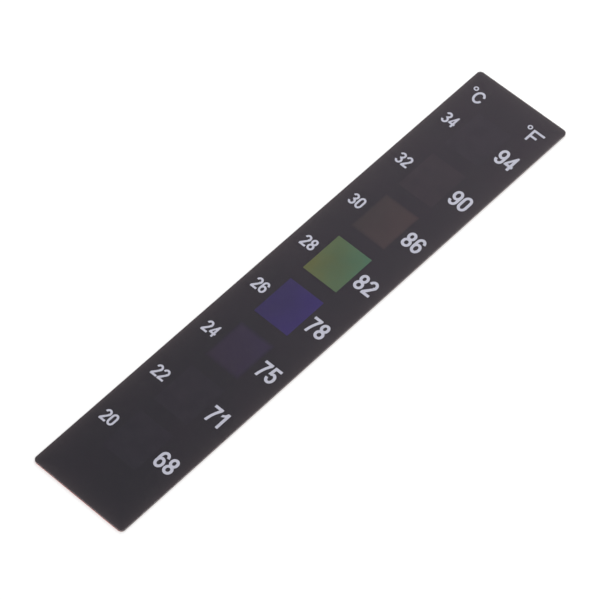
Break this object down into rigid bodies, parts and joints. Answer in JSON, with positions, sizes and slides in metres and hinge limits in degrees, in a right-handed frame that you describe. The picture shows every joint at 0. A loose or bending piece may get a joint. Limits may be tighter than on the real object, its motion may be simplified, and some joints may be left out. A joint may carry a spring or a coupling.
{
  "type": "adhesive liquid crystal thermometer strip",
  "caption": "Thin stick-on thermometer strip for aquarium glass: printed Celsius and Fahrenheit scale beside temperature-sensitive windows, on adhesive tape with a split peel-off liner.",
  "frame": {"origin": "middle of the underside of the release liner", "axes": "+X across the strip towards the Fahrenheit column, +Y along it towards the headings, +Z out of the printed face"},
  "size_m": [0.02, 0.11, 0.0005],
  "materials": {
    "clear_film": "clear polyester with a fine satin face",
    "black_ink": "matte screen-printed black",
    "white_ink": "matte screen-printed white",
    "crystal_dark": "crystal coat that reads black",
    "crystal_brown": "crystal coat at the start of its colour",
    "crystal_green": "crystal coat in full colour",
    "crystal_violet": "crystal coat past its green",
    "crystal_dim_violet": "crystal coat at the end of its colour",
    "clear_adhesive": "clear tacky acrylic adhesive",
    "clear_carrier": "thin clear polyester",
    "red_liner": "thin red release film"
  },
  "bodies": {
    "strip": {"face_film": "clear_film", "black_mask": "black_ink", "black_backing": "black_ink", "inner_adhesive": "clear_adhesive", "tape_carrier": "clear_carrier", "outer_adhesive": "clear_adhesive", "crystal_34": "crystal_dark", "crystal_32": "crystal_dark", "crystal_30": "crystal_brown", "crystal_28": "crystal_green", "crystal_26": "crystal_violet", "crystal_24": "crystal_dim_violet", "crystal_22": "crystal_dark", "crystal_20": "crystal_dark", "celsius_34_tens": "white_ink", "celsius_34_units": "white_ink", "fahrenheit_94_tens": "white_ink", "fahrenheit_94_units": "white_ink", "celsius_32_tens": "white_ink", "celsius_32_units": "white_ink", "fahrenheit_90_tens": "white_ink", "fahrenheit_90_units": "white_ink", "celsius_30_tens": "white_ink", "celsius_30_units": "white_ink", "fahrenheit_86_tens": "white_ink", "fahrenheit_86_units": "white_ink", "celsius_28_tens": "white_ink", "celsius_28_units": "white_ink", "fahrenheit_82_tens": "white_ink", "fahrenheit_82_units": "white_ink", "celsius_26_tens": "white_ink", "celsius_26_units": "white_ink", "fahrenheit_78_tens": "white_ink", "fahrenheit_78_units": "white_ink", "celsius_24_tens": "white_ink", "celsius_24_units": "white_ink", "fahrenheit_75_tens": "white_ink", "fahrenheit_75_units": "white_ink", "celsius_22_tens": "white_ink", "celsius_22_units": "white_ink", "fahrenheit_71_tens": "white_ink", "fahrenheit_71_units": "white_ink", "celsius_20_tens": "white_ink", "celsius_20_units": "white_ink", "fahrenheit_68_tens": "white_ink", "fahrenheit_68_units": "white_ink", "heading_C_letter": "white_ink", "heading_C_ring": "white_ink", "heading_F_letter": "white_ink", "heading_F_ring": "white_ink"},
    "head_liner": {"liner_head_half": "red_liner"},
    "tail_liner": {"liner_tail_half": "red_liner"}
  },
  "joints": [
    {"name": "head_liner_peel", "type": "hinge", "parent": "strip", "child": "head_liner", "pos_m": [0, 0.055, 0.00008], "axis": [1, 0, 0], "range_deg": [0, 180]},
    {"name": "tail_liner_peel", "type": "hinge", "parent": "strip", "child": "tail_liner", "pos_m": [0, -0.055, 0.00008], "axis": [-1, 0, 0], "range_deg": [0, 180]}
  ]
}
